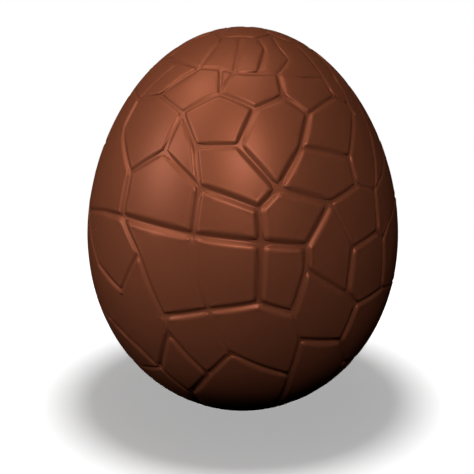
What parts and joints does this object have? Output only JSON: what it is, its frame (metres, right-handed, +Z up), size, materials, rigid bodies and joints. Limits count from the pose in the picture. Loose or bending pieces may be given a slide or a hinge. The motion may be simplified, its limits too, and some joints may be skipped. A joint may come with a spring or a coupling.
{
  "type": "chocolate egg",
  "caption": "Moulded milk chocolate egg with a crackle of shallow grooves all over, standing on its blunt end.",
  "frame": {"origin": "middle of the small flat spot that the egg stands on, at its lowest point", "axes": "+Z up along the egg's long axis, towards its tip; -Y is the front"},
  "size_m": [0.0964, 0.0966, 0.1202],
  "materials": {
    "milk_chocolate": null
  },
  "bodies": {
    "root": {"egg": "milk_chocolate"}
  },
  "joints": []
}
